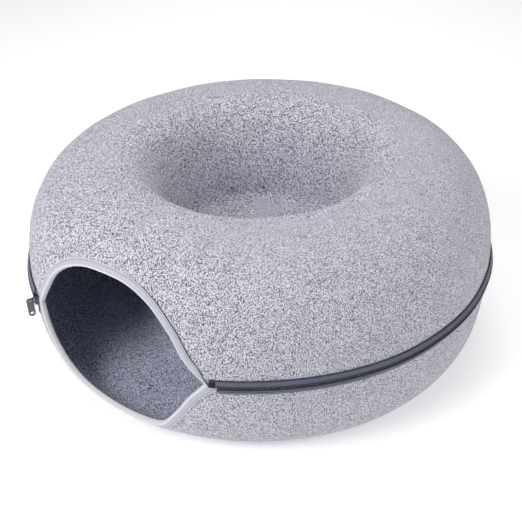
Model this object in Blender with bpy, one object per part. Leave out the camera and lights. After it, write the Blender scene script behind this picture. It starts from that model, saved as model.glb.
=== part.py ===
"""Felt cat cave: a ring-shaped tunnel bed, pressed from thick grey felt.

The ring is hollow. An upper and a lower felt shell, each pressed in one piece with the
disc that closes its middle, meet at the widest line of the ring, where a zip joins them.
The upper disc is the floor of the basin in the middle, and the lower disc lies under it.
A mouth is cut through both shells at the front, and a folded tape binds its raw edge.

Metres, +Z up, floor at z = 0, mouth towards -Y. Side angles turn round the ring's axis
from the middle of the mouth and grow towards +X. Arcs are measured along the felt's outer
face, away from the widest line: up over the crown on the upper shell, down and under on
the lower one. Heights over the felt point out of it, so the tunnel has negative ones.
"""
import math

import bpy
import numpy as np

# The ring's section: radius from its axis and height over the floor, outer face.
WIDEST_R = 0.2465
LAP = 2 * math.pi * WIDEST_R
WIDEST_Z = 0.0967
CROWN_R = 0.1614
HEIGHT = 0.1982
BASE_R = 0.1961
BASE_INNER_R = 0.1500
NECK_R = 0.1016
UPPER_NECK_Z = 0.0920
LOWER_NECK_Z = 0.0677
FILLET_R = 0.0080
OUTER_POWER = 2.38
UNDER_POWER = 3.04
BASIN_POWER = 3.09
RECESS_POWER = 2.6
FELT = 0.0028

# The soft ring as it stands: a little oval, its top half leaning down to the front left.
OVAL = 0.0055
OVAL_TOWARDS = math.radians(36.2)
LEAN_X = 0.0086
LEAN_Y = 0.0127
AXIS_Y = -0.0079

# The widest line droops where the mouth has cut the ring: how far down, round which side
# angle, and how far to each side and up and down.
DROOP = 0.0036
DROOP_TOWARDS = math.radians(-6)
DROOP_SPREAD = math.radians(60)
DROOP_TALL = 0.0550

# The mouth's cut edge, laid flat: across the front and away from the widest line. Each half
# is a smooth curve through the points of its table, from the left corner to the right one.
MOUTH_LEFT = -0.1108
MOUTH_RIGHT = 0.1061
MOUTH_UPPER = (  # across, up
    (MOUTH_LEFT, 0.0),
    (-0.0900, 0.0255),
    (-0.0745, 0.0484),
    (-0.0600, 0.0625),
    (-0.0400, 0.0725),
    (-0.0090, 0.0776),
    (0.0260, 0.0755),
    (0.0525, 0.0638),
    (0.0730, 0.0438),
    (0.0895, 0.0188),
    (MOUTH_RIGHT, 0.0),
)
MOUTH_LOWER = (  # across, down
    (MOUTH_LEFT, 0.0),
    (-0.0985, 0.0270),
    (-0.0850, 0.0450),
    (-0.0660, 0.0640),
    (-0.0380, 0.0778),
    (-0.0080, 0.0815),
    (0.0240, 0.0835),
    (0.0520, 0.0755),
    (0.0740, 0.0500),
    (0.0910, 0.0200),
    (MOUTH_RIGHT, 0.0),
)

# The folded tape that binds the mouth. Its ends lie level in the corners: left and right.
BINDING = 0.0004
BINDING_WIDTH = 0.0062
BINDING_INNER_WIDTH = 0.0050
BINDING_INNER_GAP = 0.0006
BINDING_UPPER_ENDS = (0.0034, 0.0056)
BINDING_LOWER_ENDS = (0.0034, 0.0140)
BINDING_TURN = 0.0200

# The zip: bands round the ring as arcs from the widest line, how far each edge of a band
# stands off the felt, and the zip's end pieces. The chain pushes both tapes outwards.
TAPE = 0.0010
TAPE_UPPER = (0.0003, 0.0069)
TAPE_UPPER_RISE = (0.0031, 0.0)
CHAIN = (0.0004, 0.0038)
CHAIN_RISE = (0.0031, 0.0024)
CHAIN_THICK = 0.0014
CHAIN_SHOULDER = 0.0008
CHAIN_CREST = 0.0008
TAPE_LOWER = (0.0041, 0.0084)
TAPE_LOWER_RISE = (0.0022, 0.0)
BANDS_LEFT = -0.1248
TAPE_RIGHT = 0.1188
END_STOP = (0.1121, 0.1185)
END_STOP_THICK = 0.0019
LOWER_BANDS_RIGHT = 0.1208

SLIDER_ACROSS = -0.1195
SLIDER_Z = WIDEST_Z - 0.0021
SLIDER_LENGTH = 0.0100
SLIDER_WIDTH = 0.0084
SLIDER_BACK_WIDTH = 0.0066
SLIDER_OUT = (0.0010, 0.0052)
SLIDER_EDGE = 0.0010
BRIDGE = 0.0014
BRIDGE_SPAN = 0.0072
BRIDGE_OUT = 0.0088
PULLER = 0.0014
PULLER_WIDTH = 0.0066
PULLER_LENGTH = 0.0205
PULLER_LEAN = math.radians(8)
PULLER_EYE_R = 0.00145
PULLER_EYE_IN = 0.0025
PULLER_HOLE_R = 0.0019
PULLER_CORNER = 0.0008
TAIL_ACROSS = (-0.1186, -0.1150)
TAIL_OUT = (0.0017, 0.0029)
TAIL_LENGTH = 0.0095

# Pieces stand this far apart, and each band lies this far over the felt.
GAP = 0.0003

# How finely the surfaces are divided.
MOUTH_COLUMNS = 38
BACK_COLUMNS = 48
RIM_ROW = 0.0070
WALL_ROWS = 7
BASIN_ROWS = 7
RECESS_ROWS = 5
FILLET_ROWS = 2
DISC_ROWS = 2
LINE_STEPS = 240
ARCH_STEPS = 5
ROUND_STEPS = 24
SMOOTH_ANGLE = math.radians(40)

FELT_GREY = "#B9B7C0"
BINDING_GREY = "#D3D2D6"
TAPE_SLATE = "#5D6076"
CHAIN_SLATE = "#64677B"
END_BLACK = "#1F2029"
ZIP_METAL = "#8C9096"


def linear_colour(code):
    """Turn an sRGB hex code into linear red, green, blue and alpha."""
    parts = [int(code[i:i + 2], 16) / 255 for i in (1, 3, 5)]
    return [p / 12.92 if p <= 0.04045 else ((p + 0.055) / 1.055) ** 2.4 for p in parts] + [1.0]


def finish(name, colour, roughness, metallic):
    """A plain Principled material for one piece."""
    material = bpy.data.materials.new(name)
    material.use_nodes = True
    shader = material.node_tree.nodes["Principled BSDF"]
    shader.inputs["Base Color"].default_value = linear_colour(colour)
    shader.inputs["Roughness"].default_value = roughness
    shader.inputs["Metallic"].default_value = metallic
    return material


def face_out(mesh):
    """Turn a closed piece's faces outwards if its signed volume is negative."""
    mesh.calc_loop_triangles()
    points = np.array([v.co for v in mesh.vertices])
    corners = points[np.array([t.vertices for t in mesh.loop_triangles])]
    volume = np.einsum("ij,ij->i", corners[:, 0], np.cross(corners[:, 1], corners[:, 2])).sum()
    if volume < 0:
        mesh.flip_normals()


def add_piece(name, points, faces, colour, roughness=0.9, metallic=0.0):
    """Add one named object from its points and faces, smooth where it is round."""
    mesh = bpy.data.meshes.new(name)
    mesh.from_pydata([tuple(p) for p in points], [], faces)
    mesh.update()
    face_out(mesh)
    mesh.shade_smooth()
    mesh.set_sharp_from_angle(angle=SMOOTH_ANGLE)
    mesh.materials.append(finish(name, colour, roughness, metallic))
    piece = bpy.data.objects.new(name, mesh)
    bpy.context.scene.collection.objects.link(piece)
    return piece


# Section lines and the places on them.

def quarter(centre_r, centre_z, reach_r, reach_z, power):
    """A quarter superellipse from (centre_r + reach_r, centre_z) to (centre_r, centre_z + reach_z)."""
    turn = np.linspace(0, math.pi / 2, LINE_STEPS)
    radius = centre_r + reach_r * np.cos(turn).clip(0) ** (2 / power)
    height = centre_z + reach_z * np.sin(turn) ** (2 / power)
    return np.stack([radius, height], axis=1)


class Section:
    """One shell's outer face from the widest line to the ring's axis, read by arc length."""

    def __init__(self, stretches, side):
        line = np.concatenate([s[1:] if i else s for i, s in enumerate(stretches)])
        steps = np.hypot(*np.diff(line, axis=0).T)
        arcs = np.concatenate([[0], np.cumsum(steps)]) - GAP / 2
        ends = np.cumsum([len(s) - (i > 0) for i, s in enumerate(stretches)]) - 1
        self.marks = [arcs[i] for i in ends]
        self.arcs = arcs
        self.line = line
        slope = np.gradient(line, arcs, axis=0)
        slope /= np.hypot(slope[:, 0], slope[:, 1])[:, None]
        self.normal = np.stack([slope[:, 1], -slope[:, 0]], axis=1) * side

    def at(self, arc, over):
        """Radius and height of the places this far along the felt and this far over it."""
        r, z = (np.interp(arc, self.arcs, self.line[:, k]) for k in (0, 1))
        nr, nz = (np.interp(arc, self.arcs, self.normal[:, k]) for k in (0, 1))
        return r + nr * over, z + nz * over


def upper_section():
    """Up over the crown, down the basin's wall and in over its floor."""
    floor_z = UPPER_NECK_Z - FILLET_R
    floor_r = NECK_R - FILLET_R
    return Section([
        quarter(CROWN_R, WIDEST_Z, WIDEST_R - CROWN_R, HEIGHT - WIDEST_Z, OUTER_POWER),
        quarter(CROWN_R, UPPER_NECK_Z, NECK_R - CROWN_R, HEIGHT - UPPER_NECK_Z, BASIN_POWER)[::-1],
        quarter(floor_r, UPPER_NECK_Z, FILLET_R, -FILLET_R, 2),
        np.array([(floor_r, floor_z), (0.0, floor_z)]),
    ], 1)


def lower_section():
    """Down to the flat base, up the recess under the ring and in below the basin's floor."""
    floor_z = LOWER_NECK_Z + FILLET_R
    floor_r = NECK_R - FILLET_R
    return Section([
        quarter(BASE_R, WIDEST_Z, WIDEST_R - BASE_R, -WIDEST_Z, UNDER_POWER),
        np.array([(BASE_R, 0.0), (BASE_INNER_R, 0.0)]),
        quarter(BASE_INNER_R, LOWER_NECK_Z, NECK_R - BASE_INNER_R, -LOWER_NECK_Z, RECESS_POWER)[::-1],
        quarter(floor_r, LOWER_NECK_Z, FILLET_R, FILLET_R, 2),
        np.array([(floor_r, floor_z), (0.0, floor_z)]),
    ], -1)


def place(angle, radius, height):
    """Put places of the section at their side angles, with the ring's oval, lean and droop.

    The droop lowers them by (1 - t^2)^2 of its depth at t of its reach.
    """
    stretch = 1 + OVAL * np.cos(2 * (angle - OVAL_TOWARDS))
    x = radius * stretch * np.sin(angle)
    y = -radius * stretch * np.cos(angle)
    share = np.clip(height / WIDEST_Z, 0, 1)
    z = height + share ** 2 * (3 - 2 * share) * (LEAN_X * x + LEAN_Y * y)
    aside = (angle + math.pi) % (2 * math.pi) - math.pi
    far = ((aside - DROOP_TOWARDS) / DROOP_SPREAD) ** 2 + ((height - WIDEST_Z) / DROOP_TALL) ** 2
    z = z - DROOP * (1 - np.clip(far, 0, 1)) ** 2
    return np.stack([x, y + AXIS_Y, z], axis=-1)


def on_felt(section, across, arc, over):
    """Points in space from places on the flattened felt and heights over it."""
    radius, height = section.at(arc, over)
    return place(across / WIDEST_R, radius, height)


# Shells.

def cut_edge(table):
    """Half of the mouth's edge: cubic pieces through the table's points.

    Each point has the slope of the chord between its neighbours.
    """
    points = np.array(table)
    knots = np.concatenate([[0], np.cumsum(np.hypot(*np.diff(points, axis=0).T))])
    slopes = np.gradient(points, knots, axis=0)
    fine = np.linspace(0, knots[-1], LINE_STEPS)
    i = np.clip(np.searchsorted(knots, fine, side="right") - 1, 0, len(knots) - 2)
    span = knots[i + 1] - knots[i]
    t = ((fine - knots[i]) / span)[:, None]
    return (
        (2 * t ** 3 - 3 * t ** 2 + 1) * points[i]
        + (t ** 3 - 2 * t ** 2 + t) * span[:, None] * slopes[i]
        + (3 * t ** 2 - 2 * t ** 3) * points[i + 1]
        + (t ** 3 - t ** 2) * span[:, None] * slopes[i + 1]
    )


def even_line(curve):
    """The same curve read at even steps along its length, one for each column."""
    run = np.concatenate([[0], np.cumsum(np.hypot(*np.diff(curve, axis=0).T))])
    even = np.linspace(0, run[-1], MOUTH_COLUMNS + 1)
    line = np.stack([np.interp(even, run, curve[:, k]) for k in (0, 1)], axis=1)
    line[:, 1] = line[:, 1].clip(0)
    return line


def back_columns():
    """Columns behind the mouth, as lengths across, between its right and left corner."""
    return np.linspace(MOUTH_RIGHT, LAP + MOUTH_LEFT, BACK_COLUMNS + 1)[1:-1]


def felt_shell(name, section, edge, rows_between):
    """One felt shell: its outer face, its inner face one felt thickness in, and their rim.

    The rim follows the mouth's edge across the front and the widest line elsewhere. One
    narrow row lies along it, rows of the wall share out what is left of it over each column,
    and further rows are rings.
    """
    back = back_columns()
    across = np.concatenate([edge[:, 0], back])
    rim = np.concatenate([edge[:, 1], np.zeros(len(back))])
    near = rim + RIM_ROW
    share = np.linspace(0, 1, WALL_ROWS + 1)[:, None]
    arcs = [rim[None], near + share * (section.marks[0] - near)]
    for start, end, rows in zip(section.marks, section.marks[1:], rows_between):
        rings = np.linspace(start, end, rows + 1)[1:]
        if end == section.marks[-1]:
            rings = rings[:-1]
        arcs.append(np.repeat(rings[:, None], len(across), axis=1))
    arcs = np.concatenate(arcs)
    outer = on_felt(section, across, arcs, 0.0)
    inner = on_felt(section, across, arcs, -FELT)
    poles = [on_felt(section, 0.0, section.marks[-1], over) for over in (0.0, -FELT)]
    points = np.concatenate([outer.reshape(-1, 3), inner.reshape(-1, 3), poles])
    rows, columns = arcs.shape
    skin = rows * columns
    faces = []
    for c in range(columns):
        d = (c + 1) % columns
        faces.append((c, d, skin + d, skin + c))
        for r in range(rows - 1):
            a, b = r * columns, (r + 1) * columns
            faces.append((a + c, b + c, b + d, a + d))
            faces.append((skin + a + d, skin + b + d, skin + b + c, skin + a + c))
        last = skin - columns
        faces.append((last + d, last + c, 2 * skin))
        faces.append((skin + last + c, skin + last + d, 2 * skin + 1))
    return add_piece(name, points, faces, FELT_GREY, roughness=0.95)


# Binding.

def carried(name, rings, colour, roughness=0.9, metallic=0.0):
    """A solid from equal rings of points, one after another, with flat ends."""
    count, size = rings.shape[:2]
    faces = [tuple(range(size)), tuple((count - 1) * size + k for k in reversed(range(size)))]
    for i in range(count - 1):
        for k in range(size):
            m = (k + 1) % size
            faces.append((i * size + k, (i + 1) * size + k, (i + 1) * size + m, i * size + m))
    return add_piece(name, rings.reshape(-1, 3), faces, colour, roughness, metallic)


def binding_outline():
    """The folded tape's section: how far from the cut edge, and how high over the felt."""
    near = -GAP
    nose = near - BINDING
    bevel = nose + BINDING / 3
    top = GAP + BINDING
    inside = -FELT - BINDING_INNER_GAP
    bottom = inside - BINDING
    return [
        (BINDING_WIDTH, GAP),
        (BINDING_WIDTH, top),
        (0.0, top),
        (bevel, top - BINDING / 2),
        (nose, -FELT / 2),
        (bevel, bottom + BINDING / 2),
        (0.0, bottom),
        (BINDING_INNER_WIDTH, bottom),
        (BINDING_INNER_WIDTH, inside),
        (near, inside),
        (near, GAP),
    ]


def binding(name, section, edge, end_widths):
    """The folded tape along one half of the mouth's edge.

    It stands square to the edge, and turns level over its last stretch at each corner,
    so that the upper and the lower tape meet there in the widest line.
    """
    run = np.concatenate([[0], np.cumsum(np.hypot(*np.diff(edge, axis=0).T))])
    along = np.gradient(edge, run, axis=0)
    along /= np.hypot(along[:, 0], along[:, 1])[:, None]
    square = np.stack([-along[:, 1], along[:, 0]], axis=1)
    to_end = np.minimum(run, run[-1] - run) / BINDING_TURN
    level = (1 - np.clip(to_end, 0, 1) ** 2 * (3 - 2 * np.clip(to_end, 0, 1)))[:, None]
    right = edge[:, 0] > 0
    flat = np.stack([np.where(right, end_widths[1], -end_widths[0]), np.zeros(len(edge))], axis=1)
    reach = (1 - level) * square * BINDING_WIDTH + level * flat
    unit = reach / np.hypot(reach[:, 0], reach[:, 1])[:, None]
    lift = 1 / (unit * square).sum(axis=1)[:, None]
    rings = []
    for away, over in binding_outline():
        step = reach * away / BINDING_WIDTH if away > 0 else unit * lift * away
        place_flat = edge + step
        rings.append(on_felt(section, place_flat[:, 0], place_flat[:, 1].clip(0), over))
    return carried(name, np.stack(rings, axis=1), BINDING_GREY)


# Zip.

def band(name, section, outline, start, colour):
    """A band round the back, from its right end to the slider: arcs and heights over the felt."""
    columns = back_columns()
    end = LAP + BANDS_LEFT
    inside = (columns > start + GAP) & (columns < end - GAP)
    across = np.concatenate([[start], columns[inside], [end]])
    rings = [on_felt(section, across, np.full(len(across), arc), over) for arc, over in outline]
    return carried(name, np.stack(rings, axis=1), colour)


def slab(arcs, rise, thick):
    """A flat band's section: between two arcs, each edge standing off the felt by its rise."""
    (low, far), (near, off) = arcs, rise
    return [(low, GAP + near), (far, GAP + off), (far, GAP + off + thick), (low, GAP + near + thick)]


def chain_outline():
    """A low arch: upright sides up to its shoulders, and a flat crest between them."""
    foot = slab(CHAIN, CHAIN_RISE, 0.0)[:2]
    (low, near), (far, off) = slab(CHAIN, CHAIN_RISE, CHAIN_SHOULDER)[:1:-1]
    middle = (low + far) / 2
    top = GAP + sum(CHAIN_RISE) / 2 + CHAIN_THICK
    return foot + [(far, off), (middle + CHAIN_CREST, top), (middle - CHAIN_CREST, top), (low, near)]


def end_stop(section):
    """The dark end that closes the upper tape beside the mouth's right corner."""
    corners = slab(TAPE_UPPER, TAPE_UPPER_RISE, END_STOP_THICK)
    ends = [[on_felt(section, across, arc, over) for arc, over in corners] for across in END_STOP]
    return carried("zip_end_stop", np.array(ends), END_BLACK, roughness=0.5)


def slider_frame():
    """Where the slider sits: its place, and axes along the zip, out of the felt and up."""
    angle = SLIDER_ACROSS / WIDEST_R
    here = place(angle, WIDEST_R, SLIDER_Z)
    along = np.array([math.cos(angle), math.sin(angle), 0.0])
    out = np.array([math.sin(angle), -math.cos(angle), 0.0])
    return here, along, out, np.array([0.0, 0.0, 1.0])


def extruded(name, outline, low, high, axes, colour, metallic):
    """A slab: an outline in the first two axes, from low to high along the third."""
    here, first, second, third = axes
    rings = [[here + u * first + v * second + w * third for u, v in outline] for w in (low, high)]
    return carried(name, np.array(rings), colour, roughness=0.35, metallic=metallic)


def joined(piece, other, operation):
    """Join or cut a piece with another by an applied Boolean, and remove the other."""
    step = piece.modifiers.new(operation, "BOOLEAN")
    step.operation = operation
    step.object = other
    graph = bpy.context.evaluated_depsgraph_get()
    result = bpy.data.meshes.new_from_object(piece.evaluated_get(graph))
    piece.modifiers.remove(step)
    piece.data = result
    bpy.data.objects.remove(other)


def zip_slider():
    """The slider's body, narrower towards the closed chain, and the bridge over it."""
    here, along, out, up = slider_frame()
    half = SLIDER_LENGTH / 2
    front, back, edge = SLIDER_WIDTH / 2, SLIDER_BACK_WIDTH / 2, SLIDER_EDGE
    outline = [
        (half, -front + edge),
        (half, front - edge),
        (half - edge, front),
        (0.0, front),
        (-half + edge, back),
        (-half, back - edge),
        (-half, -back + edge),
        (-half + edge, -back),
        (0.0, -front),
        (half - edge, -front),
    ]
    body = extruded("zip_slider", outline, *SLIDER_OUT, (here, along, up, out), ZIP_METAL, 1.0)
    turn = np.linspace(0, math.pi / 2, ARCH_STEPS)
    bend = np.array([BRIDGE_SPAN / 2 - BRIDGE, BRIDGE_OUT - BRIDGE])
    foot = np.array([[BRIDGE_SPAN / 2, SLIDER_OUT[1] - BRIDGE]])
    right = np.concatenate([foot, bend + BRIDGE * np.stack([np.cos(turn), np.sin(turn)], axis=1)])
    path = np.concatenate([right, (right * (-1, 1))[::-1]])
    slope = np.gradient(path, axis=0)
    slope /= np.hypot(slope[:, 0], slope[:, 1])[:, None]
    side = np.stack([slope[:, 1], -slope[:, 0]], axis=1)
    rings = []
    for u, v in ((1, -1), (-1, -1), (-1, 1), (1, 1)):
        spot = path + side * u * BRIDGE / 2
        rings.append(here + spot[:, :1] * along + spot[:, 1:] * out + v * BRIDGE / 2 * up)
    bridge = carried("bridge", np.stack(rings, axis=1), ZIP_METAL)
    joined(body, bridge, "UNION")
    return body


def zip_puller():
    """The tab that hangs from the bridge, square to the felt, with an eye and an end hole."""
    here, along, out, up = slider_frame()
    eye = here + BRIDGE_OUT * out
    cos, sin = math.cos(PULLER_LEAN), math.sin(PULLER_LEAN)
    axes = (eye, cos * out - sin * up, cos * up + sin * out, along)
    near = -PULLER_EYE_IN
    far = near + PULLER_WIDTH
    middle = (near + far) / 2
    top = PULLER_EYE_IN
    half = PULLER_WIDTH / 2
    low = top - PULLER_LENGTH + half
    corner = PULLER_CORNER
    outline = [(near, top - corner), (near + corner, top), (far - corner, top), (far, top - corner)]
    turn = np.linspace(0, math.pi, ROUND_STEPS // 2 + 1)
    outline += [(middle + half * math.cos(t), low - half * math.sin(t)) for t in turn]
    tab = extruded("zip_puller", outline, -PULLER / 2, PULLER / 2, axes, ZIP_METAL, 1.0)
    for centre, radius in (((0.0, 0.0), PULLER_EYE_R), ((middle, low), PULLER_HOLE_R)):
        turn = np.linspace(0, 2 * math.pi, ROUND_STEPS, endpoint=False)
        ring = [(centre[0] + radius * math.cos(t), centre[1] + radius * math.sin(t)) for t in turn]
        cutter = extruded("hole", ring, -PULLER, PULLER, axes, ZIP_METAL, 1.0)
        joined(tab, cutter, "DIFFERENCE")
    return tab


def make_zip(upper, lower):
    """The two tapes, the closed chain, the stop, the slider with its puller, and the tail."""
    upper_tape = slab(TAPE_UPPER, TAPE_UPPER_RISE, TAPE)
    lower_tape = slab(TAPE_LOWER, TAPE_LOWER_RISE, TAPE)
    return [
        band("zip_tape_upper", upper, upper_tape, TAPE_RIGHT, TAPE_SLATE),
        band("zip_chain", lower, chain_outline(), LOWER_BANDS_RIGHT, CHAIN_SLATE),
        band("zip_tape_lower", lower, lower_tape, LOWER_BANDS_RIGHT, TAPE_SLATE),
        end_stop(upper),
        zip_slider(),
        zip_puller(),
        zip_tail(),
    ]


def zip_tail():
    """The chain's loose end, hanging down below the slider."""
    here, along, out, up = slider_frame()
    top = -SLIDER_WIDTH / 2 - GAP
    left, right = (across - SLIDER_ACROSS for across in TAIL_ACROSS)
    low, high = TAIL_OUT
    outline = [(left, low), (right, low), (right, high), (left, high)]
    return extruded("zip_tail", outline, top - TAIL_LENGTH, top, (here, along, out, up), END_BLACK, 0.0)


def main():
    for old in list(bpy.data.objects):
        bpy.data.objects.remove(old)
    upper, lower = upper_section(), lower_section()
    upper_rim, lower_rim = even_line(cut_edge(MOUTH_UPPER)), even_line(cut_edge(MOUTH_LOWER))
    pieces = [
        felt_shell("upper_shell", upper, upper_rim, (BASIN_ROWS, FILLET_ROWS, DISC_ROWS)),
        felt_shell("lower_shell", lower, lower_rim, (1, RECESS_ROWS, FILLET_ROWS, DISC_ROWS)),
        binding("binding_upper", upper, upper_rim, BINDING_UPPER_ENDS),
        binding("binding_lower", lower, lower_rim, BINDING_LOWER_ENDS),
    ]
    pieces += make_zip(upper, lower)
    bed = bpy.data.objects.new("cat_cave", None)
    bpy.context.scene.collection.objects.link(bed)
    for piece in pieces:
        piece.parent = bed


main()
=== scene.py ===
"""The finished look of a felt cat cave: a hollow felt ring with a bound mouth and a zip.

Every surface is worked out on the felt laid flat: a place has its length across the front,
its arc from the ring's widest line and its height over the felt, and on_felt turns these
into a point. Metres, +Z up, floor at z = 0, mouth towards -Y.
"""
import math

import bpy
import numpy as np
from bpy.props import FloatProperty, PointerProperty, StringProperty
from mathutils import Matrix, Vector


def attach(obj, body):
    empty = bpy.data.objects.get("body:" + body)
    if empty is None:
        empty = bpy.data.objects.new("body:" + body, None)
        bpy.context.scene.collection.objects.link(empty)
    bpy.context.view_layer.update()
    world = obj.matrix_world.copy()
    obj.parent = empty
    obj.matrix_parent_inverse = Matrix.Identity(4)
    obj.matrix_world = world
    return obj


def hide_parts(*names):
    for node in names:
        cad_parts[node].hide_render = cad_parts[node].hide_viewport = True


bl_info = {
    "name": "Felt cat cave",
    "version": (1, 0, 0),
    "blender": (4, 5, 0),
    "location": "3D View > Sidebar > Cat cave",
    "description": "Makes a ring-shaped felt cat bed with a bound mouth and a zip",
    "category": "Add Mesh",
}

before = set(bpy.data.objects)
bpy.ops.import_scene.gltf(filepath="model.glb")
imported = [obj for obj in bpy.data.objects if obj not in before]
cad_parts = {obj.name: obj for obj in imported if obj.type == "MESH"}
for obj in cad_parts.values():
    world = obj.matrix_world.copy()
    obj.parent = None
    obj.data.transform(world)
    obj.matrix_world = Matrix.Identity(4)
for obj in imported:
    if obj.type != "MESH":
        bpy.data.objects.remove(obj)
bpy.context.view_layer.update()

# How finely the surfaces are divided.
LINE_STEPS = 900
MOUTH_COLUMNS = 132
BACK_COLUMNS = 222
WALL_ROWS = 50
BASIN_ROWS = 42
BASE_ROWS = 6
RECESS_ROWS = 30
FILLET_ROWS = 6
DISC_ROWS = 12
BINDING_RINGS = 220
BAND_COLUMNS = 420
SMOOTH_ANGLE = math.radians(40)

# Pieces stand this far apart, and each band lies this far over the felt.
GAP = 0.0003

# Sizes of the felt's dark flecks on the plain felt and on the walls that the form drew out.
PLAIN_FLECK = 0.0011
DRAWN_FLECK = 0.0007

# How the fibres were drawn out along the arc: most at which side angle, over what length it
# fades at the crown, and how slowly they are read where they are drawn least and most. They
# pass from least to most while the share of the way there grows by DRAWN_GROWTH.
DRAWN_TOWARDS = math.radians(-55)
DRAWN_FADE = 0.03
DRAWN_LEAST = 0.85
DRAWN_MOST = 0.38
DRAWN_START = 0.45
DRAWN_GROWTH = 0.35

# The felt's ripples begin at half of this height over the floor and are full at 1.5 times it.
RIPPLE_CLEAR = 0.02


def length(name, description, default):
    """A length in metres as a property."""
    return FloatProperty(
        name=name, description=description, default=default, unit="LENGTH", precision=4
    )


def angle(name, description, degrees):
    """An angle as a property, its default given in degrees."""
    return FloatProperty(
        name=name, description=description, default=math.radians(degrees), subtype="ANGLE"
    )


def power(name, description, default):
    """A light's power in watts as a property."""
    return FloatProperty(name=name, description=description, default=default, unit="POWER")


def number(name, description, default):
    """A plain number as a property."""
    return FloatProperty(name=name, description=description, default=default, precision=3)


def colour(name, description, default):
    """A colour as an sRGB hex code."""
    return StringProperty(name=name, description=description, default=default)


class CatCaveRing(bpy.types.PropertyGroup):
    """The hollow ring's section and how it stands."""

    widest_r: length("Widest radius", "Axis to the felt's outer face at the zip", 0.2465)
    widest_z: length("Zip height", "Floor to the widest line", 0.0967)
    crown_r: length("Crown radius", "Axis to the highest line of the ring", 0.1614)
    height: length("Height", "Floor to the crown", 0.1982)
    base_r: length("Foot radius", "Axis to the outer edge of the flat foot", 0.1961)
    base_inner_r: length("Foot inner radius", "Axis to the inner edge of the foot", 0.1500)
    neck_r: length("Neck radius", "Axis to the wall of the basin at its narrowest", 0.1016)
    upper_neck_z: length("Upper neck height", "Floor to the foot of the basin's wall", 0.0920)
    lower_neck_z: length("Lower neck height", "Floor to the top of the recess's wall", 0.0677)
    fillet_r: length("Fillet radius", "Bend between a wall and the disc in the middle", 0.0080)
    felt: length("Felt thickness", "Thickness of the pressed felt", 0.0028)
    blank: length("Felt blank", "Diameter of the disc that each shell is pressed from", 0.620)
    outer_power: number("Outer power", "Squareness of the outer wall above the zip", 2.38)
    under_power: number("Under power", "Squareness of the outer wall below the zip", 3.04)
    basin_power: number("Basin power", "Squareness of the basin's wall", 3.09)
    recess_power: number("Recess power", "Squareness of the recess's wall", 2.6)
    oval: number("Oval", "Share by which the ring is longer one way", 0.0055)
    oval_towards: angle("Oval towards", "Side angle of the long way", 36.2)
    lean_x: number("Lean to the right", "Rise of the top for each metre to the right", 0.0086)
    lean_y: number("Lean to the back", "Rise of the top for each metre to the back", 0.0127)
    axis_y: length("Axis place", "Place of the ring's axis from front to back", -0.0079)
    droop: length("Droop", "How far the widest line droops at the mouth", 0.0036)
    droop_towards: angle("Droop towards", "Side angle at which it droops most", -6)
    droop_spread: angle("Droop spread", "Reach of the droop to each side", 60)
    sag: length("Sag", "How far the widest line sags at the right", 0.0038)
    sag_towards: angle("Sag towards", "Side angle at which it sags most", 80)
    sag_spread: angle("Sag spread", "Reach of the sag to each side", 75)
    droop_tall: length("Droop half height", "Reach of droop and sag up and down", 0.0550)
    ripple: length("Ripple", "How far the soft felt strays in and out", 0.0004)


class CatCaveMouth(bpy.types.PropertyGroup):
    """The cut mouth and the folded tape on its edge."""

    left: length("Left corner", "Place of the left corner across the front", -0.1112)
    right: length("Right corner", "Place of the right corner across the front", 0.1078)
    tape: length("Tape thickness", "Thickness of the folded tape", 0.0008)
    tape_width: length("Tape width outside", "Width of the tape on the outer face", 0.0068)
    tape_inner: length("Tape width inside", "Width of the tape on the inner face", 0.0050)
    inner_gap: length("Tape slack inside", "Space between felt and tape inside", 0.0006)
    upper_left: length("Upper tape's left end", "Its width in the left corner", 0.0034)
    upper_right: length("Upper tape's right end", "Its width in the right corner", 0.0022)
    lower_left: length("Lower tape's left end", "Its width in the left corner", 0.0034)
    lower_right: length("Lower tape's right end", "Its width in the right corner", 0.0140)
    turn: length("Tape turn", "Length over which the tape turns level", 0.0200)
    groove: length("Groove depth", "How deep the stitches pull the tape in", 0.0002)
    bead: length("Bead height", "How far the fold bulges over the felt", 0.0001)
    stitch_in: length("Stitch line", "Tape's outer edge to its row of stitches", 0.0017)
    stitch_pitch: length("Stitch pitch", "Distance from stitch to stitch", 0.0028)
    stitch_long: length("Stitch length", "Length of one stitch", 0.0021)
    thread: length("Thread", "Thickness of the sewing thread", 0.00035)


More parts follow.
